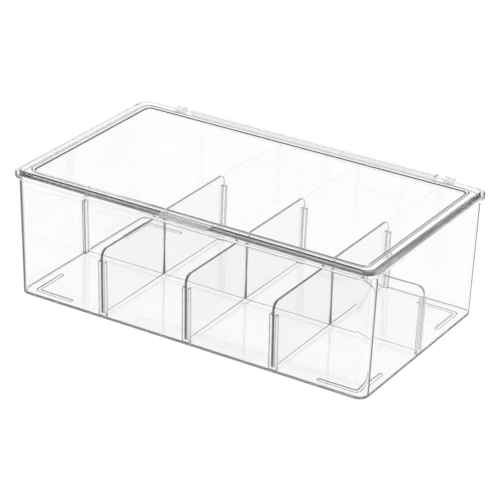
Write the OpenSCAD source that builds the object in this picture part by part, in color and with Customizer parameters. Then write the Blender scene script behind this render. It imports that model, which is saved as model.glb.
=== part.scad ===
// Clear moulded tea bag organizer: a shallow bin with a hinged lid and a set of
// half-lapped dividers that make two rows of four packet compartments.
// X runs along the front, Y from front to back, Z up from the table.

/* [Bin] */
// Length over the walls, at the base
bin_l = 300.5; // [220:0.5:360]
// Width over the walls, at the base
bin_w = 169.5; // [130:0.5:220]
// Height from the table to the top of the rim
bin_h = 101; // [80:0.1:130]
// Wall thickness
wall_t = 2; // [1.5:0.1:3]
// Floor thickness
floor_t = 1.8; // [1.4:0.1:3]
// Outward lean of every wall, in degrees
draft = 1.4; // [0.5:0.1:3]
// Radius of the upright corners, outside, at the base
corner_r = 7.8; // [4:0.1:10]
// Radius of the bottom edge, outside
base_r = 1.2; // [0.6:0.1:3]
// Diameter of the moulding gate's dimple under the floor
gate_d = 8; // [3:0.5:12]

/* [Rim] */
// How far the rim stands out from the wall
rim_out = 2.4; // [1.5:0.1:5]
// Height of the rim
rim_t = 4.5; // [3:0.1:8]
// Radius of the rim's rounded underside
rim_r = 2.5; // [1:0.1:2.9]
// Radius of the rim's corners, outside
rim_corner = 10.3; // [8:0.1:14]

/* [Feet] */
// Height of the L-shaped feet
foot_h = 0.8; // [0.5:0.1:1.4]
// Width of a foot's ridge
foot_w = 2.5; // [1.5:0.1:4]
// Length of each arm of a foot
foot_arm = 31; // [15:1:45]
// From the base's outline to the middle of the ridge
foot_in = 10.2; // [7:0.1:14]
// Radius of a foot's bend, at the middle of the ridge
foot_r = 2.5; // [2.2:0.1:6]

/* [Dividers] */
// Sheet thickness of every divider
div_t = 2; // [1.5:0.1:3]
// Height of the dividers
div_h = 52.6; // [35:0.1:70]
// Radius of a divider's top corners
div_r = 5; // [2:0.5:10]
// Radius of a divider's bottom corners
div_low_r = 0.8; // [0.4:0.1:2]
// Distance between neighbouring cross dividers
pitch = 74.3; // [50:0.1:85]
// Height of the half-lap, as a share of the divider's height
lap = 0.46; // [0.3:0.01:0.7]
// Free play on each side of a divider in its slot
play = 0.3; // [0.2:0.05:0.5]

/* [Slot ribs] */
// Width of one rib
rib_w = 2.15; // [1.2:0.05:4]
// How far a rib stands in from the wall
rib_d = 2.6; // [1.5:0.1:5]
// Height of the ribs above the floor
rib_h = 45.4; // [25:0.1:60]
// Height of the seat between two ribs that a divider stands on
seat_h = 1.8; // [1:0.1:4]

/* [Lid] */
// From the rim's outline in to the lid's edge
lid_in = 3.4; // [2:0.1:4.5]
// Thickness of the lid
lid_t = 2; // [1.6:0.1:3]
// Radius of the lid's rounded top edge
lid_r = 1.6; // [0.5:0.1:1.6]
// Width of the raised border around the recessed panel
border = 7.3; // [6:0.1:14]
// Depth of the recess that takes the feet of a box above
recess = 1.7; // [1.6:0.1:3]
// Radius of the recess's corners
recess_r = 4.7; // [2:0.1:10]
// Length of the finger tab
tab_l = 44; // [25:1:80]
// How far the finger tab stands out past the rim
tab_out = 1.6; // [1:0.1:6]
// Radius of the finger tab's corners
tab_r = 2.2; // [1:0.1:4]

/* [Hinge] */
// Half the distance over the two ears
ear_x = 124; // [90:1:140]
// Length of one ear
ear_l = 6; // [4:0.5:10]
// Outside diameter of an ear
ear_d = 5.2; // [4.6:0.1:7]
// Diameter of the lid's hinge barrel
barrel_d = 4.8; // [4:0.1:6]
// Half the length of the hinge barrel
barrel_x = 109; // [70:1:112]
// Diameter of the hinge pins
pin_d = 3; // [2:0.1:3.4]
// Radial play of a pin in its ear
pin_play = 0.05; // [0.02:0.01:0.1]

/* [Hidden] */
$fn = 32;
slope = tan(draft);
floor_z = foot_h + floor_t;            // top of the floor
div_z = floor_z + seat_h;              // where the dividers stand
rim_z = bin_h - rim_t;                 // underside of the rim
rim_mid = bin_h - rim_t / 2;           // the wall ends inside the rim here
rim_x = snap((rim_z - foot_h) * slope + rim_out);
rim_l = bin_l + 2 * rim_x;             // length over the rim
rim_w = bin_w + 2 * rim_x;             // width over the rim
in_r = 1;                              // radius where walls meet the floor
lap_z = div_h * lap;
slot = div_t + 2 * play;
axis_y = rim_w / 2 + barrel_d / 2 + play;
axis_z = bin_h - 1.3;
front_y = -(rim_w / 2 + tab_out);
mid_y = (axis_y + ear_d / 2 + front_y) / 2;   // middle of the box, tab and hinge counted
side_t = 1.2;                          // run of the slope down to the panel
clear = [0.93, 0.95, 0.96, 0.45];

// Rounds to a hundredth of a millimetre, so that neighbouring faces meet exactly.
function snap(v) = round(v * 100) / 100;

// Inside half size of a wall at height z, for an outside size over the base.
function inside(size, z) = size / 2 + (z - foot_h) * slope - wall_t;

// Sets a piece down with the middle of the whole box over the origin.
module placed() {
  translate([0, -mid_y, 0]) children();
}

// Points of an arc about c, from angle a0 to a1.
function arc(c, r, a0, a1, n = 5) =
  [for (i = [0:n]) let (a = a0 + (a1 - a0) * i / n)
     [snap(c[0] + r * cos(a)), snap(c[1] + r * sin(a))]];

// Full upright section: the edge on the right and its mirror image on the left.
function both(edge, half) =
  concat([for (p = edge) [half + p[0], p[1]]],
         [for (i = [len(edge) - 1:-1:0]) [-half - edge[i][0], edge[i][1]]]);

// Quarter turn of an edge about the axis of a corner.
module corner(r, edge) {
  rotate_extrude(angle = 90)
    polygon(concat([[0, edge[0][1]]], [for (p = edge) [r + p[0], p[1]]],
                   [[0, edge[len(edge) - 1][1]]]));
}

// Sweeps an edge round an l x w outline with corner radius r and fills it. The
// edge runs upwards as points [distance out from the outline, height].
module swept(l, w, r, edge) {
  for (turn = [0, 180]) rotate([0, 0, turn]) {
    translate([l / 2 - r, w / 2 - r, 0]) corner(r, edge);
    translate([r - l / 2, w / 2 - r, 0]) rotate([0, 0, 90]) corner(r, edge);
  }
  rotate([90, 0, 90]) translate([0, 0, r - l / 2])
    linear_extrude(l - 2 * r) polygon(both(edge, w / 2));
  rotate([90, 0, 0]) translate([0, 0, r - w / 2])
    linear_extrude(w - 2 * r) polygon(both(edge, l / 2));
}

// Lower part of a leaning side that starts at z0 with its edge rounded by r.
function leaning_foot(z0, r) =
  arc([(z0 + r - foot_h) * slope - r / cos(draft), z0 + r], r, -90, -draft);

// Outside of the wall: rounded base, then the lean, up to the middle of the rim.
function wall_edge() =
  concat(leaning_foot(foot_h, base_r), [[snap((rim_mid - foot_h) * slope), rim_mid]]);

// Outside of the rim, with its rounded underside.
function rim_edge() =
  concat(arc([-rim_r, rim_z + rim_r], rim_r, -90, 0), [[0, bin_h]]);

// Inside of the bin, from the floor to above the rim.
function cavity_edge() =
  concat(leaning_foot(floor_z, in_r), [[snap((bin_h + 1 - foot_h) * slope), bin_h + 1]]);

// Outside of the lid's border: upright foot under a rounded top edge.
function border_edge() =
  concat([[-lid_in, bin_h]], arc([-lid_in - lid_r, bin_h + lid_t - lid_r], lid_r, 0, 90));

// Puts a child against the inside of the wall that faces the given way: its
// own y points in from the wall and its own z runs up the wall.
module on_wall(turn, size) {
  rotate([0, 0, turn])
    translate([0, -inside(size, floor_z), floor_z])
      rotate([draft, 0, 0]) children();
}

// Two upright ribs with round tops that take the end of one divider.
module rib_pair() {
  for (s = [-1, 1]) translate([s * (slot + rib_w) / 2, 0, 0]) {
    translate([-rib_w / 2, -1, -1]) cube([rib_w, rib_d + 1, rib_h - rib_w / 2 + 1]);
    translate([0, -1, rib_h - rib_w / 2]) rotate([-90, 0, 0]) cylinder(d = rib_w, h = rib_d + 1);
  }
}

// Seat between the ribs of a pair, at the foot of a wall.
module seat(turn, size) {
  wide = slot + rib_w;
  rotate([0, 0, turn]) translate([-wide / 2, -inside(size, floor_z) - 0.5, floor_z - 0.5])
    cube([wide, rib_d + 0.4, seat_h + 0.5]);
}

// One L-shaped foot, drawn for the corner at +X +Y.
module foot() {
  x = bin_l / 2 - foot_in;
  y = bin_w / 2 - foot_in;
  run = foot_arm - foot_r;
  h = foot_h + 0.5;
  translate([x - foot_arm, y - foot_w / 2, 0]) cube([run, foot_w, h]);
  translate([x - foot_w / 2, y - foot_arm, 0]) cube([foot_w, run, h]);
  translate([x - foot_r, y - foot_r, 0]) rotate_extrude(angle = 90)
    translate([foot_r - foot_w / 2, 0]) square([foot_w, h]);
  for (p = [[x - foot_arm, y], [x, y - foot_arm]])
    translate([p[0], p[1], 0]) cylinder(d = foot_w, h = h);
}

// One hinge ear on the back of the rim, with the bore for a pin.
module ear() {
  y0 = rim_w / 2 - 1;
  difference() {
    union() {
      translate([ear_x - ear_l, axis_y, axis_z]) rotate([0, 90, 0]) cylinder(d = ear_d, h = ear_l);
      translate([ear_x - ear_l, y0, axis_z - ear_d / 2])
        cube([ear_l, axis_y - y0, bin_h - axis_z + ear_d / 2]);
    }
    translate([ear_x - ear_l - 1, axis_y, axis_z]) rotate([0, 90, 0])
      cylinder(d = pin_d + 2 * pin_play, h = ear_l + 2);
  }
}

module bin() {
  color(clear) placed() {
    difference() {
      union() {
        swept(bin_l, bin_w, corner_r, wall_edge());
        swept(rim_l, rim_w, rim_corner, rim_edge());
        for (sx = [0, 1], sy = [0, 1]) mirror([sx, 0, 0]) mirror([0, sy, 0]) foot();
      }
      swept(bin_l - 2 * wall_t, bin_w - 2 * wall_t, corner_r - wall_t, cavity_edge());
      translate([0, 0, foot_h - 1]) cylinder(d = gate_d, h = 1.4);
    }
    for (x = [-pitch, 0, pitch], turn = [0, 180]) {
      on_wall(turn, bin_w) translate([x, 0, 0]) rib_pair();
      translate([x, 0, 0]) seat(turn, bin_w);
    }
    for (turn = [90, -90]) {
      on_wall(turn, bin_l) rib_pair();
      seat(turn, bin_l);
    }
    for (s = [0, 1]) mirror([s, 0, 0]) ear();
  }
}

// Outline of a divider that spans the bin: its ends follow the leaning walls.
module sheet(size) {
  c = cos(draft);
  s = sin(draft);
  function end(z) = inside(size, div_z + z) - play - 0.1;
  low = [end(div_low_r) - div_low_r / c, div_low_r];
  top = [end(div_h - div_r) - div_r / c, div_h - div_r];
  half = [[low[0], 0], [low[0] + low[1] * c, low[1] * (1 - s)],
          [top[0] + div_r * c, top[1] - div_r * s], [top[0], div_h]];
  polygon(concat(half, [for (i = [3:-1:0]) [-half[i][0], half[i][1]]]));
  for (m = [-1, 1]) {
    translate([m * low[0], low[1]]) circle(low[1]);
    translate([m * top[0], top[1]]) circle(div_r);
  }
}

module long_divider() {
  color(clear) placed()
    translate([0, div_t / 2, div_z]) rotate([90, 0, 0]) linear_extrude(div_t)
      difference() {
        sheet(bin_l);
        for (x = [-pitch, 0, pitch]) translate([x - slot / 2, lap_z]) square([slot, div_h]);
      }
}

module cross_divider(x) {
  color(clear) placed()
    translate([x - div_t / 2, 0, div_z]) rotate([90, 0, 90]) linear_extrude(div_t)
      difference() {
        sheet(bin_w);
        translate([-slot / 2, -1]) square([slot, lap_z + play + 1]);
      }
}

module left_cross_divider() {
  cross_divider(-pitch);
}

module middle_cross_divider() {
  cross_divider(0);
}

module right_cross_divider() {
  cross_divider(pitch);
}

// Finger tab: reaches forward over the rim from the lid's front edge.
module tab() {
  back = -(rim_w / 2 - lid_in - 3);
  h = lid_t - 0.2;
  translate([0, 0, bin_h]) {
    translate([-tab_l / 2 + tab_r, front_y, 0]) cube([tab_l - 2 * tab_r, back - front_y, h]);
    translate([-tab_l / 2, front_y + tab_r, 0]) cube([tab_l, back - front_y - tab_r, h]);
    for (s = [-1, 1])
      translate([s * (tab_l / 2 - tab_r), front_y + tab_r, 0]) cylinder(r = tab_r, h = h);
  }
}

// Section, seen along X, of the leaf and barrel behind the lid.
module hinge_section() {
  y0 = rim_w / 2 - lid_in - 3;
  polygon([[y0, bin_h], [axis_y, bin_h], [axis_y, axis_z + barrel_d / 2],
           [y0, bin_h + lid_t - 0.2]]);
  translate([axis_y, axis_z]) circle(d = barrel_d);
}

// Hinge pin beyond one end of the barrel, with the collar that keeps it centred.
module pin() {
  inner = ear_x - barrel_x - ear_l - play;
  translate([0, 0, -2]) cylinder(d = pin_d, h = ear_x - barrel_x + 1.4);
  translate([0, 0, inner - 1.8]) cylinder(d = barrel_d, h = 1.8);
}

module lid() {
  panel_l = rim_l - 2 * (lid_in + lid_r + border);
  panel_w = rim_w - 2 * (lid_in + lid_r + border);
  panel_z = bin_h + lid_t - recess;    // top of the recessed panel
  color(clear) placed() {
    difference() {
      union() {
        swept(rim_l, rim_w, rim_corner, border_edge());
        swept(panel_l + 2 * lid_t, panel_w + 2 * lid_t, recess_r + lid_t,
              [[0, panel_z - lid_t], [side_t / 2, bin_h + 0.5]]);
      }
      swept(panel_l, panel_w, recess_r, [[0, panel_z], [side_t, bin_h + lid_t + 0.1]]);
    }
    tab();
    rotate([90, 0, 90]) translate([0, 0, -barrel_x]) linear_extrude(2 * barrel_x) hinge_section();
    for (s = [-1, 1]) translate([s * barrel_x, axis_y, axis_z]) rotate([0, s * 90, 0]) pin();
  }
}

bin();
lid();
long_divider();
left_cross_divider();
middle_cross_divider();
right_cross_divider();
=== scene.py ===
"""Clear moulded tea bag organizer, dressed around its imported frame.

Lengths are in millimetres until a mesh is made. The meshes and the camera's places are in metres.
X runs along the front, Y from the front with the finger tab to the hinge, Z up.
"""

import logging
import math
from dataclasses import dataclass, field
from enum import Enum

import bmesh
import bpy
from mathutils import Matrix, Vector


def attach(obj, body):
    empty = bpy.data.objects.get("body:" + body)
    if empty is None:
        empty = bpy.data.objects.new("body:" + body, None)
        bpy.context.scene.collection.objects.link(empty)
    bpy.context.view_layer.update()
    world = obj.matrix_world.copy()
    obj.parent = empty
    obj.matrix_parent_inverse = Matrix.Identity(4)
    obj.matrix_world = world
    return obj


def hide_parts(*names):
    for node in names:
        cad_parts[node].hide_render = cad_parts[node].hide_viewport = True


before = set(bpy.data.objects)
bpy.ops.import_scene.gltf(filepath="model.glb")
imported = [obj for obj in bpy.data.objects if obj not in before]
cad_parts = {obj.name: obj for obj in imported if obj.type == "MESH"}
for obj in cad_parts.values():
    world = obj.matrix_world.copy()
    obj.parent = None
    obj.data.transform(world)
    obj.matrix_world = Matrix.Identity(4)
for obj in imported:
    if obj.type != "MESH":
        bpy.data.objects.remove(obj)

LOG = logging.getLogger("tea_box")
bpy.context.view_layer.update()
Point = tuple[float, float]
Point3 = tuple[float, float, float]
Colour = tuple[float, float, float, float]
MM = 0.001  # metres in a millimetre
SAME = 1e-6  # lengths that differ by less count as the same
PAINTED_SHADE = "painted_edge_shade"  # face attribute: painted shade on a narrow moulded edge, from 0 to 1
PAINTED_GRAZE_MASK = "painted_graze_mask"  # face attribute: 1 where a turning face takes painted shade as it slants away
STANDS, LIES = 0.02, 0.98  # a face stands if its normal rises less than the first, and lies if more
COLOUR_A, COLOUR_B, COLOUR_OUT = 6, 7, 2  # places of a Mix node's colour sockets
SHARP_ANGLE = 32.0  # an edge that turns by more degrees stays sharp
FLAT_WEIGHT = 100  # flat faces settle the normals at their corners
ROUND_STEPS = 3  # segments across a rounded edge
ARC_PROFILE = 0.5  # bevel profile of a true arc
CORNER_STEPS = 10  # segments in each rounded corner of a moulding


# --------------------------------------------------------------------------
# Small helpers
# --------------------------------------------------------------------------


def linear(hex_colour: str) -> Colour:
    """Turn an sRGB hex colour into linear RGBA.

    Args:
        hex_colour: Six hex digits after a hash.

    Returns:
        The colour as linear red, green, blue and an alpha of one.
    """
    parts = [int(hex_colour[i : i + 2], 16) / 255 for i in (1, 3, 5)]
    out = [c / 12.92 if c <= 0.04045 else ((c + 0.055) / 1.055) ** 2.4 for c in parts]
    return (out[0], out[1], out[2], 1.0)


def add_node(
    tree: bpy.types.NodeTree,
    kind: str,
    settings: dict[str, object] | None = None,
    values: dict[str | int, object] | None = None,
    links: dict[str | int, bpy.types.NodeSocket] | None = None,
) -> bpy.types.Node:
    """Add one node with its settings, socket values and incoming links.

    Args:
        tree: The node tree that gets the node.
        kind: The node's type name.
        settings: Attributes set on the node itself.
        values: Values set on its input sockets, by socket name or place.
        links: Output sockets linked to its inputs, by socket name or place.

    Returns:
        The new node.
    """
    node = tree.nodes.new(kind)
    for name, value in (settings or {}).items():
        setattr(node, name, value)
    for name, value in (values or {}).items():
        node.inputs[name].default_value = value
    for name, socket in (links or {}).items():
        tree.links.new(socket, node.inputs[name])
    return node


class Solver(Enum):
    """The two ways one mesh is combined with another."""

    JOIN = "UNION"
    CUT = "DIFFERENCE"


def mesh_object(name: str, shape: bmesh.types.BMesh) -> bpy.types.Object:
    """Turn a shape in millimetres into an object at the origin, in metres.

    Args:
        name: The object's name.
        shape: The shape, which is freed.

    Returns:
        The linked object.
    """
    bmesh.ops.scale(shape, vec=(MM, MM, MM), verts=shape.verts)
    bmesh.ops.recalc_face_normals(shape, faces=shape.faces)
    for mark in (PAINTED_SHADE, PAINTED_GRAZE_MASK):
        if mark not in shape.faces.layers.float:
            shape.faces.layers.float.new(mark)
    mesh = bpy.data.meshes.new(name)
    shape.to_mesh(mesh)
    shape.free()
    made = bpy.data.objects.new(name, mesh)
    bpy.context.scene.collection.objects.link(made)
    return made


def settle(made: bpy.types.Object) -> None:
    """Apply an object's modifiers to its mesh.

    Args:
        made: The object, which keeps no modifier.
    """
    graph = bpy.context.evaluated_depsgraph_get()
    final = bpy.data.meshes.new_from_object(made.evaluated_get(graph))
    old = made.data
    made.modifiers.clear()
    made.data = final
    bpy.data.meshes.remove(old)
    final.name = made.name


def combine(base: bpy.types.Object, tools: list[bpy.types.Object], how: Solver) -> None:
    """Join tool meshes to a base or cut them from it, then delete the tools.

    Args:
        base: The object that is changed.
        tools: The objects joined to it or cut from it.
        how: Whether to join or to cut.
    """
    group = bpy.data.collections.new("tools")
    bpy.context.scene.collection.children.link(group)
    for tool in tools:
        bpy.context.scene.collection.objects.unlink(tool)
        group.objects.link(tool)
    step = base.modifiers.new("combine", "BOOLEAN")
    step.operation = how.value
    step.operand_type = "COLLECTION"
    step.collection = group
    step.solver = "EXACT"
    settle(base)
    for tool in tools:
        spare = tool.data
        bpy.data.objects.remove(tool)
        bpy.data.meshes.remove(spare)
    bpy.data.collections.remove(group)


def finish_surface(made: bpy.types.Object) -> None:
    """Smooth curved faces and keep flat faces flat.

    Args:
        made: The object whose normals are set.
    """
    mesh = made.data
    shape = bmesh.new()
    shape.from_mesh(mesh)
    bmesh.ops.remove_doubles(shape, verts=shape.verts, dist=SAME)
    bmesh.ops.dissolve_degenerate(shape, dist=SAME, edges=shape.edges)
    shape.to_mesh(mesh)
    shape.free()
    mesh.shade_smooth()
    mesh.set_sharp_from_angle(angle=math.radians(SHARP_ANGLE))
    step = made.modifiers.new("flats", "WEIGHTED_NORMAL")
    step.keep_sharp = True
    step.weight = FLAT_WEIGHT
    settle(made)


def arc(centre: Point, radius: float, start: float, end: float, steps: int) -> list[Point]:
    """Points of an arc.

    Args:
        centre: The arc's centre.
        radius: Its radius.
        start: The first angle, in degrees.
        end: The last angle, in degrees.
        steps: The number of segments.

    Returns:
        The points, from start to end.
    """
    angles = [math.radians(start + (end - start) * i / steps) for i in range(steps + 1)]
    return [(centre[0] + radius * math.cos(a), centre[1] + radius * math.sin(a)) for a in angles]


def circle(centre: Point, radius: float, steps: int = 24) -> list[Point]:
    """Points of a full circle, without the first one again at the end."""
    return arc(centre, radius, 0, 360 - 360 / steps, steps - 1)


@dataclass(frozen=True)
class Outline:
    """A rounded rectangle that rings of vertices follow, in millimetres."""

    length: float
    width: float
    radius: float

    def ring(self, out: float, height: float) -> list[Point3]:
        """Points of one level ring.

        Args:
            out: Distance out from the outline.
            height: The ring's height.

        Returns:
            The points, anticlockwise from above.
        """
        x, y = self.length / 2 - self.radius, self.width / 2 - self.radius
        points = []
        for cx, cy, start in ((x, y, 0), (-x, y, 90), (-x, -y, 180), (x, -y, 270)):
            for px, py in arc((cx, cy), self.radius + out, start, start + 90, CORNER_STEPS):
                points.append((px, py, height))
        return points


@dataclass(frozen=True)
class Band:
    """How much painted shade one band of a loft takes.

    Attributes:
        shade: Painted edge shade of the whole band.
        straight: Painted graze mask of its straight stretches, which grey as they slant away where it is 1.
        corner: Painted graze mask of its rounded corners.
    """

    shade: float = 0.0
    straight: float = 0.0
    corner: float = 0.0


@dataclass
class Skin:
    """Rings of a moulding, in order, with the band that leads to each but the first."""

    rings: list[list[Point3]] = field(default_factory=list)
    bands: list[Band] = field(default_factory=list)

    def add(
        self, outline: Outline, points: list[Point], band: Band = Band(), lead: Band = Band()
    ) -> None:
        """Add one ring for each point of a section.

        Args:
            outline: The outline that the rings follow.
            points: Distance out and height of each ring.
            band: The bands between these rings.
            lead: The band that leads to the first of them.
        """
        for i, (out, height) in enumerate(points):
            if self.rings:
                self.bands.append(band if i else lead)
            self.rings.append(outline.ring(out, height))


def loft(rings: list[list[Point3]], bands: list[Band] | None = None) -> bmesh.types.BMesh:
    """Skin a closed form through rings of equal count, with both ends capped.

    Args:
        rings: The rings, in order.
        bands: The band between each two rings, or none for bands without painted shade.

    Returns:
        The closed shape.
    """
    shape = bmesh.new()
    shade, graze_mask = (shape.faces.layers.float.new(mark) for mark in (PAINTED_SHADE, PAINTED_GRAZE_MASK))
    rows = [[shape.verts.new(p) for p in ring] for ring in rings]
    count = len(rows[0])
    for low, high, band in zip(rows, rows[1:], bands or [Band()] * len(rings)):
        # In an outline's ring, the faces of each corner come before one straight stretch.
        for i in range(count):
            j = (i + 1) % count
            face = shape.faces.new((low[i], low[j], high[j], high[i]))
            face[shade] = band.shade
            face[graze_mask] = band.corner if i % (CORNER_STEPS + 1) < CORNER_STEPS else band.straight
    shape.faces.new(list(reversed(rows[0])))
    shape.faces.new(rows[-1])
    return shape


def round_edges(shape: bmesh.types.BMesh, edges: list[bmesh.types.BMEdge], radius: float) -> None:
    """Round some edges of a shape.

    Args:
        shape: The shape.
        edges: Its edges to be rounded.
        radius: Their radius.
    """
    bmesh.ops.bevel(
        shape,
        geom=edges,
        offset=radius,
        segments=ROUND_STEPS,
        profile=ARC_PROFILE,
        affect="EDGES",
        clamp_overlap=True,
    )


def paint_edge_shade(shape: bmesh.types.BMesh, sides: float, rounds: float) -> None:
    """Set the painted edge shade of the upright faces and the rounded edges of a prism that stands along Z.

    Args:
        shape: The prism.
        sides: Painted edge shade of its upright faces.
        rounds: Painted edge shade of the faces that slant.
    """
    shape.normal_update()
    shade = shape.faces.layers.float[PAINTED_SHADE]
    for face in shape.faces:
        rise = abs(face.normal.z)
        face[shade] = sides if rise < STANDS else rounds if rise < LIES else 0.0


def prism(
    points: list[Point],
    low: float,
    high: float,
    radius: float = 0.0,
    sides: float = 0.0,
    rounds: float = 0.0,
) -> bmesh.types.BMesh:
    """Extrude a flat outline from low to high, and round its end edges.

    Args:
        points: The outline, anticlockwise, in the XY plane.
        low: Height of the lower end.
        high: Height of the upper end.
        radius: Radius of the edges round both ends, or nought.
        sides: Painted edge shade of the faces along the outline.
        rounds: Painted edge shade of the rounded edges.

    Returns:
        The closed shape, standing along Z.
    """
    shape = loft([[(x, y, level) for x, y in points] for level in (low, high)])
    if radius:
        # Known fault: the faces have no normals yet, so an inward corner rounds to its wrong side.
        ends = [e for e in shape.edges if abs(e.verts[0].co.z - e.verts[1].co.z) < SAME]
        round_edges(shape, ends, radius)
    paint_edge_shade(shape, sides, rounds)
    return shape


def placed(shape: bmesh.types.BMesh, *steps: Matrix) -> bmesh.types.BMesh:
    """Move a shape by matrices, the last one first.

    Args:
        shape: The shape that is moved.
        steps: The matrices.

    Returns:
        The same shape.
    """
    total = Matrix.Identity(4)
    for step in steps:
        total = total @ step
    bmesh.ops.transform(shape, matrix=total, verts=shape.verts)
    return shape


def turn(angle: float, axis: str) -> Matrix:
    """Rotation by an angle in degrees about an axis."""
    return Matrix.Rotation(math.radians(angle), 4, axis)


def shift(x: float = 0.0, y: float = 0.0, z: float = 0.0) -> Matrix:
    """Translation in millimetres."""
    return Matrix.Translation((x, y, z))


# Turns a prism drawn in XY so that its outline stands in XZ or YZ.
ALONG_Y = turn(90, "X")
ALONG_X = turn(90, "Z") @ turn(90, "X")


# --------------------------------------------------------------------------
# Sizes shared by the pieces
# --------------------------------------------------------------------------


@dataclass(frozen=True)
class Sizes:
    """Driving sizes of the organizer, in millimetres."""

    length: float = 300.5
    width: float = 169.5
    height: float = 101.0
    wall: float = 2.0
    floor: float = 1.8
    draft: float = 1.4
    corner: float = 7.8
    base_round: float = 1.2
    fillet: float = 1.0  # inside, where the floor meets the walls
    rim_out: float = 2.4
    rim_tall: float = 4.5
    rim_round: float = 2.5
    rim_corner: float = 10.3
    foot: float = 0.8
    seat: float = 1.8  # height over the floor of the ledges that carry the dividers
    pitch: float = 74.3
    play: float = 0.3  # on each side of a divider in its slot
    sheet: float = 2.0
    spare: float = 0.1  # play at each end of a divider, beyond the slots' own
    pin_out: float = 2.7  # from the rim out to the hinge axis
    pin_low: float = 1.3  # and from the rim's top down to it
    back: float = -1.85  # Y of the middle of the bin

    @property
    def slope(self) -> float:
        """Outward lean of a wall for each millimetre of height."""
        return math.tan(math.radians(self.draft))

    @property
    def floor_top(self) -> float:
        """Height of the floor's upper face."""
        return self.foot + self.floor

    @property
    def rim_under(self) -> float:
        """Height of the rim's underside."""
        return self.height - self.rim_tall

    @property
    def rim(self) -> float:
        """Distance from the base's outline out to the rim's outline."""
        return (self.rim_under - self.foot) * self.slope + self.rim_out

    @property
    def rim_length(self) -> float:
        """Length over the rim."""
        return self.length + 2 * self.rim

    @property
    def rim_width(self) -> float:
        """Width over the rim."""
        return self.width + 2 * self.rim

    @property
    def stand(self) -> float:
        """Height at which the dividers stand."""
        return self.floor_top + self.seat

    @property
    def slot(self) -> float:
        """Width of a slot that takes a divider."""
        return self.sheet + 2 * self.play

    @property
    def pin(self) -> Point:
        """Depth and height of the hinge axis."""
        return (self.width / 2 + self.rim + self.pin_out + self.back, self.height - self.pin_low)

    def lean(self, height: float) -> float:
        """How far a wall has leaned out at a height."""
        return (height - self.foot) * self.slope

    def inside(self, size: float, height: float) -> float:
        """Half the clear size between two walls at a height."""
        return size / 2 + self.lean(height) - self.wall


# --------------------------------------------------------------------------
# Finishes
# --------------------------------------------------------------------------


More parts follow.
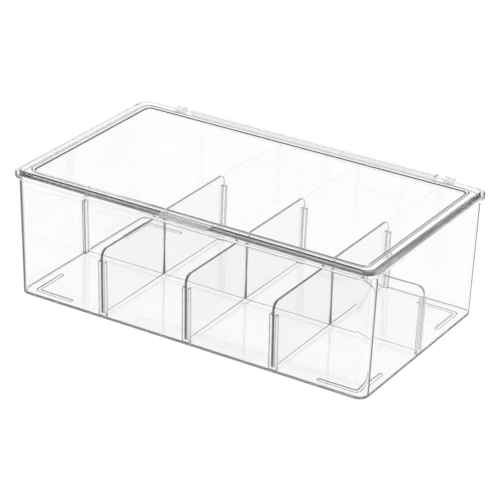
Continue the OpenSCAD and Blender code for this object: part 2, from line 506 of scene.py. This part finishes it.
@dataclass(frozen=True)
class ClearPlastic:
    """Clear crystal polystyrene, injection moulded in a polished tool.

    The polished tool leaves a glassy face. The melt's flow leaves a slow wave of a few
    centimetres, which bends lines seen through a sheet, and handling leaves a fine haze.
    Narrow edges and faces that slant away take painted shade: a dark tone in their colour and less light
    let through.

    Attributes:
        face: Tone of light through the clearest stretches of a sheet.
        flow_face: Tone through the crests of the flow wave.
        wave_mm: Length of the flow wave.
        wave_depth_mm: Height of the flow wave.
        haze_low: Roughness of the clean polished face.
        haze_high: Roughness of the handled patches.
        patch_mm: Size of those patches.
        patch_from: Noise level at which a patch begins.
        patch_to: Noise level at which it is fully hazed.
        absorb: Loss per metre inside the plastic.
        spared: Colour that this loss spares.
        edge: Painted shade tone of narrow edges and slanting faces.
        edge_clear: Share of light that an edge under full painted shade still lets through.
        graze_from: Slant at which a turning face starts to take painted shade.
        graze_to: Slant at which its painted shade is full.
        flat_graze: Share of painted shade tone that a flat face takes as it slants away.
        flat_from: Slant at which a flat face starts to take it.
        flat_to: Slant at which it has all of it.
    """

    name: str
    face: str = "#FEFEFE"
    flow_face: str = "#FBFBFB"
    ior: float = 1.59
    wave_mm: float = 34.0
    wave_depth_mm: float = 0.02
    haze_low: float = 0.0
    haze_high: float = 0.035
    patch_mm: float = 12.0
    patch_from: float = 0.45
    patch_to: float = 0.8
    absorb: float = 1.5
    spared: Colour = (0.0, 0.01, 0.01, 1.0)
    edge: str = "#1C1E20"
    edge_clear: float = 0.1
    graze_from: float = 0.35
    graze_to: float = 0.55
    flat_graze: float = 0.046
    flat_from: float = 0.35
    flat_to: float = 0.6

    def build(self) -> bpy.types.Material:
        """Make the material.

        Returns:
            The node material.
        """
        made = bpy.data.materials.new(self.name)
        made.use_nodes = True
        tree = made.node_tree
        tree.nodes.clear()
        where = add_node(tree, "ShaderNodeTexCoord")
        wave = add_node(
            tree,
            "ShaderNodeTexNoise",
            values={"Scale": 1 / (self.wave_mm * MM), "Detail": 1.0, "Roughness": 0.4},
            links={"Vector": where.outputs["Object"]},
        )
        # Handling haze comes in patches.
        patch = add_node(
            tree,
            "ShaderNodeTexNoise",
            values={"Scale": 1 / (self.patch_mm * MM), "Detail": 3.0, "Roughness": 0.6},
            links={"Vector": where.outputs["Object"]},
        )
        haze = add_node(
            tree,
            "ShaderNodeMapRange",
            values={
                "From Min": self.patch_from,
                "From Max": self.patch_to,
                "To Min": self.haze_low,
                "To Max": self.haze_high,
            },
            links={"Value": patch.outputs["Fac"]},
        )
        tone = add_node(
            tree,
            "ShaderNodeMix",
            settings={"data_type": "RGBA"},
            values={COLOUR_A: linear(self.face), COLOUR_B: linear(self.flow_face)},
            links={"Factor": wave.outputs["Fac"]},
        )
        # Painted shade darkens the colour and cuts the light let through: a face takes its own marked
        # shade at least, a turning face more as it slants away, and a flat face greys slightly as it slants
        # away.
        shade = add_node(tree, "ShaderNodeAttribute", settings={"attribute_name": PAINTED_SHADE})
        graze_mask = add_node(tree, "ShaderNodeAttribute", settings={"attribute_name": PAINTED_GRAZE_MASK})
        facing = add_node(tree, "ShaderNodeLayerWeight", values={"Blend": 0.5})
        slant = add_node(
            tree,
            "ShaderNodeMapRange",
            values={"From Min": self.graze_from, "From Max": self.graze_to},
            links={"Value": facing.outputs["Facing"]},
        )
        graze = add_node(
            tree,
            "ShaderNodeMath",
            settings={"operation": "MULTIPLY"},
            links={0: slant.outputs["Result"], 1: graze_mask.outputs["Fac"]},
        )
        flats = add_node(
            tree,
            "ShaderNodeMapRange",
            values={"From Min": self.flat_from, "From Max": self.flat_to, "To Max": self.flat_graze},
            links={"Value": facing.outputs["Facing"]},
        )
        edges = add_node(
            tree,
            "ShaderNodeMath",
            settings={"operation": "MAXIMUM"},
            links={0: graze.outputs[0], 1: shade.outputs["Fac"]},
        )
        dark = add_node(
            tree,
            "ShaderNodeMath",
            settings={"operation": "MAXIMUM"},
            links={0: edges.outputs[0], 1: flats.outputs["Result"]},
        )
        colour = add_node(
            tree,
            "ShaderNodeMix",
            settings={"data_type": "RGBA"},
            values={COLOUR_B: linear(self.edge)},
            links={"Factor": dark.outputs[0], COLOUR_A: tone.outputs[COLOUR_OUT]},
        )
        clearness = add_node(
            tree,
            "ShaderNodeMapRange",
            values={"To Min": 1.0, "To Max": self.edge_clear},
            links={"Value": dark.outputs[0]},
        )
        bump = add_node(
            tree,
            "ShaderNodeBump",
            values={"Strength": 1.0, "Distance": self.wave_depth_mm * MM},
            links={"Height": wave.outputs["Fac"]},
        )
        shader = add_node(
            tree,
            "ShaderNodeBsdfPrincipled",
            values={"IOR": self.ior, "Metallic": 0.0},
            links={
                "Transmission Weight": clearness.outputs["Result"],
                "Base Color": colour.outputs[COLOUR_OUT],
                "Roughness": haze.outputs["Result"],
                "Normal": bump.outputs["Normal"],
            },
        )
        depth = add_node(
            tree,
            "ShaderNodeVolumeAbsorption",
            values={"Color": self.spared, "Density": self.absorb},
        )
        add_node(
            tree,
            "ShaderNodeOutputMaterial",
            links={"Surface": shader.outputs["BSDF"], "Volume": depth.outputs["Volume"]},
        )
        return made


@dataclass(frozen=True)
class LightTable:
    """Opal acrylic light table: an even white that shows no shadow under clear plastic.

    Attributes:
        tone: Its own colour, grey so that the box's shadow stays faint.
        glow: Brightness of the sheet, just past white.
        drift: Share by which the glow drifts to either side.
    """

    name: str = "opal_acrylic_light_table"
    tone: str = "#404040"
    glow: float = 1.02
    drift: float = 0.005

    def build(self) -> bpy.types.Material:
        """Make the material.

        Returns:
            The node material.
        """
        made = bpy.data.materials.new(self.name)
        made.use_nodes = True
        tree = made.node_tree
        tree.nodes.clear()
        where = add_node(tree, "ShaderNodeTexCoord")
        # The lamps behind the opal sheet leave it a little brighter here and there.
        lamps = add_node(
            tree,
            "ShaderNodeTexNoise",
            values={"Scale": 1.5, "Detail": 0.0},
            links={"Vector": where.outputs["Object"]},
        )
        glow = add_node(
            tree,
            "ShaderNodeMapRange",
            values={
                "To Min": self.glow * (1 - self.drift),
                "To Max": self.glow * (1 + self.drift),
            },
            links={"Value": lamps.outputs["Fac"]},
        )
        shader = add_node(
            tree,
            "ShaderNodeBsdfPrincipled",
            values={
                "Base Color": linear(self.tone),
                "Roughness": 0.9,
                "Specular IOR Level": 0.0,
                "Emission Color": linear("#FFFFFF"),
            },
            links={"Emission Strength": glow.outputs["Result"]},
        )
        add_node(tree, "ShaderNodeOutputMaterial", links={"Surface": shader.outputs["BSDF"]})
        return made


# --------------------------------------------------------------------------
# The pieces
# --------------------------------------------------------------------------


@dataclass
class Piece:
    """One moulded piece: what it is called, what carries it and its finish."""

    sizes: Sizes
    finish: bpy.types.Material
    name: str = "piece"
    node: str = "node"

    def dress(self, made: bpy.types.Object) -> bpy.types.Object:
        """Give a finished mesh its normals, material, node and body.

        Args:
            made: The mesh object.

        Returns:
            The same object.
        """
        finish_surface(made)
        made.data.materials.clear()
        made.data.materials.append(self.finish)
        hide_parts(self.node)
        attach(made, self.node)
        LOG.info("%s: %d faces", made.name, len(made.data.polygons))
        return made


@dataclass
class Bin(Piece):
    """The open box: drafted walls, floor, rim, slot ribs, feet and hinge ears."""

    name: str = "moulded_bin"
    node: str = "bin"
    rib_wide: float = 2.15
    rib_deep: float = 2.6
    rib_tall: float = 45.4
    rib_round: float = 0.4
    seat_round: float = 0.15
    seat_lap: float = 0.5  # how far a seat reaches under its ribs and into the floor
    root: float = 1.0  # how far ribs, seats and ears reach into the wall
    past: float = 1.0  # how far a cutting shape reaches past what it cuts
    foot_wide: float = 2.5
    foot_arm: float = 31.0
    foot_in: float = 10.2
    foot_turn: float = 2.5
    ear_end: float = 124.0
    ear_long: float = 6.0
    ear_round: float = 2.6
    ear_edge: float = 0.25
    ear_sunk: float = 0.02  # the ears stop this far under the rim's top
    bore: float = 1.55
    gate: float = 4.0  # radius of the gate mark
    gate_deep: float = 0.4
    gate_round: float = 0.3
    edge: float = 0.35  # radius of the rim's small edges
    base_line: float = 0.5  # how far up the wall the base's painted shade reaches
    rim_start: float = -80.0  # angle at which the rim's underside starts to turn up
    rib_shade: float = 0.6  # painted edge shade of the rounded edges of ribs and seats
    foot_shade: float = 1.0  # and of the feet and gate mark
    base_shade: float = 0.6  # and of the round from base to wall
    under_shade: float = 0.3  # and of the rim's under edge
    under_rings: int = 3  # rings that this edge takes of the rim's turn
    rim_shade: float = 0.3  # and of the rim's outer top edge
    inner_shade: float = 0.075  # and of its inner top edge
    # The section of a foot as distance out and height: round toe, sides and flare into the base.
    foot_section: tuple[Point, ...] = (
        (-0.3, 0.0),
        (-0.09, 0.09),
        (0.0, 0.3),
        (0.09, 0.5),
        (0.3, 0.7),
        (0.7, 0.8),
        (0.7, 1.4),
    )

    def shell(self) -> bmesh.types.BMesh:
        """Walls, floor and rim in one skin, from under the base to the floor.

        Returns:
            The closed shape.
        """
        s, e = self.sizes, self.edge
        wall = Outline(s.length, s.width, s.corner)
        rim = Outline(s.rim_length, s.rim_width, s.rim_corner)
        slant, top = math.cos(math.radians(s.draft)), s.height - e
        base_top = s.foot + s.base_round
        base = (s.lean(base_top) - s.base_round / slant, base_top)
        line = base_top + self.base_line
        turn_up = arc((-s.rim_round, s.rim_under + s.rim_round), s.rim_round, self.rim_start, 0, 7)
        inner = s.lean(s.height) - s.wall
        floor_turn = s.floor_top + s.fillet
        fillet = (s.lean(floor_turn) - s.wall - s.fillet / slant, floor_turn)
        # Painted shade: the base's round and the rim's edges are shaded, and the base's round and the
        # wall's corners grey further as they slant away.
        base_band, corners = Band(self.base_shade, straight=1.0, corner=1.0), Band(corner=1.0)
        skin = Skin()
        skin.add(wall, arc(base, s.base_round, -90, -s.draft, 6), base_band)
        skin.add(wall, [(s.lean(line), line)], lead=base_band)
        skin.add(wall, [(s.lean(s.rim_under), s.rim_under)], lead=corners)
        skin.add(rim, turn_up[: self.under_rings], Band(self.under_shade), lead=corners)
        skin.add(rim, turn_up[self.under_rings :])
        skin.add(rim, arc((-e, top), e, 0, 90, 3), Band(self.rim_shade))
        skin.add(wall, arc((inner + e, top), e, 90, 180, 3), Band(self.inner_shade))
        skin.add(wall, arc(fillet, s.fillet, -s.draft, -90, 4))
        return placed(loft(skin.rings, skin.bands), shift(y=s.back))

    def rib(self) -> bmesh.types.BMesh:
        """One slot rib with a round top.

        Returns:
            The rib, standing on z = 0 with its back at y = 0.
        """
        r = self.rib_wide / 2
        outline = [(-r, -self.root), (r, -self.root)] + arc((0, self.rib_tall - r), r, 0, 180, 8)
        shape = prism(outline, -self.rib_deep, self.root)
        front = [e for e in shape.edges if all(abs(v.co.z + self.rib_deep) < SAME for v in e.verts)]
        round_edges(shape, front, self.rib_round)
        paint_edge_shade(shape, 0.0, self.rib_shade)
        return placed(shape, ALONG_Y)

    def ribs(self) -> list[bpy.types.Object]:
        """Every slot rib against its leaning wall, and the seat at the foot of each pair.

        Returns:
            The ribs as objects to be joined to the shell.
        """
        s = self.sizes
        stands = [(a, s.width, x) for a in (0, 180) for x in (-s.pitch, 0, s.pitch)]
        stands += [(a, s.length, 0.0) for a in (90, -90)]
        made = []
        for angle, size, x in stands:
            for side in (-1, 1):
                at = x + side * (s.slot + self.rib_wide) / 2
                wall = shift(y=-s.inside(size, s.floor_top), z=s.floor_top)
                shape = placed(
                    self.rib(), shift(y=s.back), turn(angle, "Z"), wall, turn(s.draft, "X"), shift(x=at)
                )
                made.append(mesh_object("rib", shape))
            half, face = s.slot / 2 + self.seat_lap, s.inside(size, s.floor_top)
            ledge = [(x - half, -face - self.root), (x + half, -face - self.root)]
            ledge += [(x + half, self.rib_deep - face), (x - half, self.rib_deep - face)]
            low = s.floor_top - self.seat_lap
            block = prism(ledge, low, s.stand, self.seat_round, rounds=self.rib_shade)
            made.append(mesh_object("seat", placed(block, shift(y=s.back), turn(angle, "Z"))))
        return made

    def feet(self) -> list[bpy.types.Object]:
        """The four L-shaped feet with round ends.

        Returns:
            The feet as objects to be joined to the shell.
        """
        s, r = self.sizes, self.foot_wide / 2
        x, y = s.length / 2 - self.foot_in, s.width / 2 - self.foot_in
        arm = self.foot_arm
        bend, q = (x - self.foot_turn, y - self.foot_turn), self.foot_turn
        made = []
        for sx, sy in ((1, 1), (-1, 1), (-1, -1), (1, -1)):
            rings = []
            for out, height in self.foot_section:
                w = r + out
                points = arc(bend, q + w, 0, 90, 8) + arc((x - arm, y), w, 90, 270, 8)
                points += arc(bend, q - w, 90, 0, 5) + arc((x, y - arm), w, 180, 360, 8)
                ring = [(sx * px, sy * py, height) for px, py in points]
                if sx * sy < 0:
                    ring.reverse()
                rings.append(ring)
            shape = loft(rings, [Band(self.foot_shade)] * (len(rings) - 1))
            made.append(mesh_object("foot", placed(shape, shift(y=s.back))))
        return made

    def ear(self, side: int) -> bpy.types.Object:
        """One hinge ear with its bore.

        Args:
            side: 1 on the right, -1 on the left.

        Returns:
            The ear as an object to be joined to the shell.
        """
        s = self.sizes
        y, z = s.pin
        wall_y = s.width / 2 + s.rim - self.root + s.back
        level, r = s.height - self.ear_sunk, self.ear_round
        end = 180 - math.degrees(math.asin((level - z) / r))
        outline = [(wall_y, z - r)] + arc((y, z), r, -90, end, 22) + [(wall_y, level)]
        low, high = self.ear_end - self.ear_long, self.ear_end
        ear = mesh_object("ear", placed(prism(outline, low, high, self.ear_edge), ALONG_X))
        drill = prism(circle((y, z), self.bore), low - self.past, high + self.past)
        hole = mesh_object("bore", placed(drill, ALONG_X))
        combine(ear, [hole], Solver.CUT)
        if side < 0:
            shape = bmesh.new()
            shape.from_mesh(ear.data)
            bmesh.ops.scale(shape, vec=(-1, 1, 1), verts=shape.verts)
            bmesh.ops.reverse_faces(shape, faces=shape.faces)
            shape.to_mesh(ear.data)
            shape.free()
        return ear

    def build(self) -> bpy.types.Object:
        """Make the bin.

        Returns:
            The dressed bin.
        """
        made = mesh_object(self.name, self.shell())
        combine(made, self.ribs() + self.feet() + [self.ear(1), self.ear(-1)], Solver.JOIN)
        # The gate mark takes the feet's painted shade.
        s, shade = self.sizes, self.foot_shade
        mark = circle((0, 0), self.gate, 36)
        shape = prism(mark, s.foot - self.past, s.foot + self.gate_deep, self.gate_round, shade, shade)
        dimple = mesh_object("gate", placed(shape, shift(y=s.back)))
        combine(made, [dimple], Solver.CUT)
        return self.dress(made)


@dataclass
class Lid(Piece):
    """The recessed lid with its border, finger tab, hinge leaf, barrel and pins."""

    name: str = "moulded_lid"
    node: str = "lid"
    inset: float = 3.4  # from the rim's outline in to the lid's edge
    thick: float = 2.0
    edge: float = 1.6  # radius of the border's upper edge
    edge_start: float = 12.0  # angle at which that edge starts to turn over
    rest_edge: float = 0.25  # radius of the border's lower edge
    border: float = 7.3  # width of the border from that edge in to the panel's outline
    recess: float = 1.7  # depth of the panel under the border
    recess_round: float = 4.7  # radius of the panel's corners
    step: float = 1.2  # from the panel's outline out to the step's top edge
    step_lean: float = 30.0  # degrees by which the step's wall leans out
    step_in: float = 0.5  # how far the step's foot reaches into the panel
    step_line: float = 0.5  # how far the step's painted shade reaches past its foot
    top_round: float = 0.7  # radius of the step's top edge
    foot_round: float = 0.8  # and of its foot
    under_round: float = 0.6  # and of the panel's lower edge
    side_round: float = 0.5  # and where the panel's side meets the border
    side_lean: float = 0.5  # how far that side leans out
    tab_long: float = 44.0
    tab_out: float = 1.6
    tab_round: float = 2.2
    tab_edge: float = 0.35
    barrel_end: float = 109.0
    barrel: float = 2.4
    barrel_edge: float = 0.25
    pin: float = 1.5
    pin_end: float = 123.4
    pin_root: float = 2.0  # how far a pin reaches into the barrel
    pin_edge: float = 0.3
    collar_start: float = 115.9
    collar_end: float = 117.7
    collar_edge: float = 0.2
    gap: float = 0.06  # the lid rests this far over the rim, so the faces stay apart
    leaf_gap: float = 0.02  # tab and leaf lie this much higher
    leaf_low: float = 0.2  # and end this far under the border's top
    root: float = 3.0  # how far tab and leaf reach into the border
    step_shade: float = 1.0  # painted edge shade of the round where the step meets the panel
    top_shade: float = 0.45  # and of the step's top edge

    @property
    def leaf(self) -> Point:
        """Lower and upper height of the tab and the hinge leaf."""
        s = self.sizes
        return (s.height + self.gap + self.leaf_gap, s.height + self.thick - self.leaf_low)

    def plate(self) -> bmesh.types.BMesh:
        """Border and panel in one skin, from under the panel to its top.

        Returns:
            The closed shape.
        """
        s, thick = self.sizes, self.thick
        line = -self.inset
        half = line - self.edge - self.border
        length, width = s.rim_length + 2 * half, s.rim_width + 2 * half
        border = Outline(s.rim_length, s.rim_width, s.rim_corner)
        panel = Outline(length, width, self.recess_round)
        under = Outline(length + 2 * thick, width + 2 * thick, self.recess_round + thick)
        low, top = s.height + self.gap, s.height + thick
        panel_top = top - self.recess
        panel_low = panel_top - thick + self.gap
        lower = (-self.under_round, panel_low + self.under_round)
        side = (self.side_lean + self.side_round, low - self.side_round)
        rest = (line - self.rest_edge, low + self.rest_edge)
        edge = (line - self.edge, top - self.edge)
        step_top = (self.step + self.top_round, top - self.top_round)
        step_foot = (-self.step_in, panel_top + self.foot_round)
        # Painted shade on the step's top edge, its foot and a strip of the panel.
        step_band = Band(self.step_shade)
        skin = Skin()
        skin.add(under, arc(lower, self.under_round, -90, 0, 4))
        skin.add(under, arc(side, self.side_round, 180, 90, 3))
        skin.add(border, arc(rest, self.rest_edge, -90, 0, 3))
        skin.add(border, arc(edge, self.edge, self.edge_start, 90, 6))
        skin.add(panel, arc(step_top, self.top_round, 90, 180 - self.step_lean, 4), Band(self.top_shade))
        skin.add(panel, arc(step_foot, self.foot_round, -self.step_lean, -90, 5), step_band)
        skin.add(panel, [(-self.step_in - self.step_line, panel_top)], lead=step_band)
        return placed(loft(skin.rings, skin.bands), shift(y=s.back))

    def tab(self) -> bpy.types.Object:
        """The finger tab that reaches forward over the rim.

        Returns:
            The tab as an object to be joined to the plate.
        """
        s = self.sizes
        front = -(s.width / 2 + s.rim + self.tab_out)
        back = -(s.width / 2 + s.rim - self.inset - self.root)
        x, r = self.tab_long / 2, self.tab_round
        outline = arc((-x + r, front + r), r, 180, 270, 6) + arc((x - r, front + r), r, 270, 360, 6)
        outline += [(x, back), (-x, back)]
        shape = prism(outline, *self.leaf, self.tab_edge)
        return mesh_object("tab", placed(shape, shift(y=s.back)))

    def hinge(self) -> list[bpy.types.Object]:
        """Leaf, barrel, pins and collars behind the lid.

        Returns:
            The hinge's parts as objects to be joined to the plate.
        """
        s = self.sizes
        y, z = s.pin
        r = self.barrel
        start = s.width / 2 + s.rim - self.inset - self.root + s.back
        low, top = self.leaf
        reach = math.sqrt(r * r - (low - z) ** 2)
        first = math.degrees(math.atan2(low - z, -reach))
        outline = [(start, low), (y - reach, low)]
        outline += arc((y, z), r, first, 450, 26)[1:]
        outline += [(start, top)]
        barrel = prism(outline, -self.barrel_end, self.barrel_end, self.barrel_edge)
        parts = [placed(barrel, ALONG_X)]
        rods = (
            (self.barrel_end - self.pin_root, self.pin_end, self.pin, self.pin_edge),
            (self.collar_start, self.collar_end, r, self.collar_edge),
        )
        for angle in (180, 0):
            for begin, end, radius, edge in rods:
                rod = placed(prism(circle((0, 0), radius), begin, end, edge), ALONG_X)
                parts.append(placed(rod, shift(y=y, z=z), turn(angle, "Z")))
        return [mesh_object("hinge", part) for part in parts]

    def build(self) -> bpy.types.Object:
        """Make the lid.

        Returns:
            The dressed lid.
        """
        made = mesh_object(self.name, self.plate())
        combine(made, [self.tab()] + self.hinge(), Solver.JOIN)
        return self.dress(made)


class Lap(Enum):
    """Which way a divider's half-laps open."""

    UP = "up"
    DOWN = "down"


@dataclass
class Divider(Piece):
    """One half-lapped sheet that spans the bin."""

    span: float = 300.5
    lap: Lap = Lap.UP
    slots: tuple[float, ...] = (0.0,)
    along: float = 0.0
    tall: float = 52.6
    top_round: float = 5.0
    low_round: float = 0.8
    lap_share: float = 0.46  # share of the height at which two sheets meet
    soft: float = 0.5  # radius of the sheet's edges
    painted_edge_shade: float = 1.0  # and the painted shade they take
    lift: float = 0.05  # the sheet stands this far over its seats, so the faces stay apart

    def outline(self) -> list[Point]:
        """The sheet's outline with its half-laps, anticlockwise.

        Returns:
            Points as distance along the sheet and height over the seats.
        """
        s = self.sizes
        slant = math.cos(math.radians(s.draft))

        def end(height: float) -> float:
            """Half length of the sheet at a height over the seats."""
            return s.inside(self.span, s.stand + height) - s.play - s.spare

        crown = self.tall - self.top_round
        low = (end(self.low_round) - self.low_round / slant, self.low_round)
        top = (end(crown) - self.top_round / slant, crown)
        right = arc(low, self.low_round, -90, -s.draft, 5) + arc(top, self.top_round, -s.draft, 90, 9)
        left = [(-x, z) for x, z in reversed(right)]
        half, level = s.slot / 2, self.tall * self.lap_share
        cuts: list[Point] = []
        if self.lap is Lap.UP:
            for x in sorted(self.slots, reverse=True):
                cuts += [(x + half, self.tall), (x + half, level), (x - half, level), (x - half, self.tall)]
            return right + cuts + left
        level += s.play
        for x in sorted(self.slots):
            cuts += [(x - half, 0.0), (x - half, level), (x + half, level), (x + half, 0.0)]
        return right + left + cuts

    def build(self) -> bpy.types.Object:
        """Make the divider.

        Returns:
            The dressed divider.
        """
        s = self.sizes
        half, shade = s.sheet / 2, self.painted_edge_shade
        shape = prism(self.outline(), -half, half, self.soft, shade, shade)
        face = ALONG_Y if self.lap is Lap.UP else ALONG_X
        at = shift(self.along, s.back, s.stand + self.lift)
        return self.dress(mesh_object(self.name, placed(shape, at, face)))


# --------------------------------------------------------------------------
# Studio
# --------------------------------------------------------------------------


@dataclass
class Studio:
    """Floor, light and camera. The camera's distance, target and reach are in metres."""

    azimuth: float = 31.04
    elevation: float = 25.56
    roll: float = 1.82
    distance: float = 1.768
    lens: float = 169.44
    target: Point3 = (0.00398, -0.00443, 0.0470)
    sensor: float = 36.0
    reach: float = 100.0  # farthest distance that the camera sees
    sky: float = 1.08
    dark: float = 0.6
    table: float = 12000.0  # half the light table's size
    table_low: float = 0.1  # and how far it lies under the feet
    clear_bounces: int = 100  # a ray crosses both faces of many walls
    gloss_bounces: int = 60

    def floor(self) -> None:
        """The light table that the box stands on."""
        shape = bmesh.new()
        bmesh.ops.create_grid(shape, x_segments=1, y_segments=1, size=self.table)
        made = mesh_object("studio_floor", placed(shape, shift(z=-self.table_low)))
        made.data.materials.append(LightTable().build())

    def light(self) -> None:
        """Soft dome: a bright band all round, darker overhead and at the horizon."""
        world = bpy.data.worlds.new("soft_studio")
        bpy.context.scene.world = world
        world.use_nodes = True
        tree = world.node_tree
        tree.nodes.clear()
        where = add_node(tree, "ShaderNodeTexCoord")
        split = add_node(tree, "ShaderNodeSeparateXYZ", links={"Vector": where.outputs["Generated"]})
        ramp = add_node(tree, "ShaderNodeValToRGB", links={"Fac": split.outputs["Z"]})
        stops = ramp.color_ramp.elements
        # Height of the look on a unit sphere, and the brightness there.
        levels = ((0.14, self.dark), (0.3, self.sky), (0.56, self.sky), (0.66, self.dark))
        while len(stops) < len(levels):
            stops.new(0.5)
        for stop, (at, level) in zip(stops, levels):
            stop.position = at
            stop.color = (level, level, level, 1.0)
        back = add_node(tree, "ShaderNodeBackground", links={"Color": ramp.outputs["Color"]})
        add_node(tree, "ShaderNodeOutputWorld", links={"Surface": back.outputs["Background"]})

    def camera(self) -> None:
        """Camera at the photograph's viewing angle."""
        az, el, roll = (math.radians(v) for v in (self.azimuth, self.elevation, self.roll))
        away = Vector((math.sin(az) * math.cos(el), -math.cos(az) * math.cos(el), math.sin(el)))
        right = (-away).cross(Vector((0, 0, 1))).normalized()
        up = right.cross(-away)
        x_axis = math.cos(roll) * right + math.sin(roll) * up
        y_axis = -math.sin(roll) * right + math.cos(roll) * up
        basis = Matrix((x_axis, y_axis, away)).transposed().to_4x4()
        lens = bpy.data.cameras.new("camera")
        lens.lens, lens.sensor_width = self.lens, self.sensor
        lens.clip_end = self.reach
        view = bpy.data.objects.new("camera", lens)
        view.matrix_world = Matrix.Translation(Vector(self.target) + self.distance * away) @ basis
        bpy.context.scene.collection.objects.link(view)
        bpy.context.scene.camera = view

    def build(self) -> None:
        """Set up the studio."""
        self.camera()
        self.floor()
        self.light()
        scene = bpy.context.scene
        scene.view_settings.view_transform = "Standard"
        scene.cycles.max_bounces = self.clear_bounces
        scene.cycles.transmission_bounces = self.clear_bounces
        scene.cycles.glossy_bounces = self.gloss_bounces


def main() -> None:
    """Build every piece in order."""
    logging.basicConfig(level=logging.INFO, format="%(name)s: %(message)s")
    sizes = Sizes()
    clear = ClearPlastic("crystal_polystyrene_moulded").build()
    sheet = ClearPlastic("crystal_polystyrene_sheet", wave_mm=22.0, haze_high=0.05).build()
    Studio().build()
    Bin(sizes, clear).build()
    Lid(sizes, clear).build()
    Divider(
        sizes, sheet, "long_divider_sheet", "long_divider", slots=(-sizes.pitch, 0.0, sizes.pitch)
    ).build()
    for side, x in (("left", -sizes.pitch), ("middle", 0.0), ("right", sizes.pitch)):
        Divider(
            sizes,
            sheet,
            f"{side}_cross_divider_sheet",
            f"{side}_cross_divider",
            span=sizes.width,
            lap=Lap.DOWN,
            along=x,
        ).build()


if __name__ == "__main__":
    main()
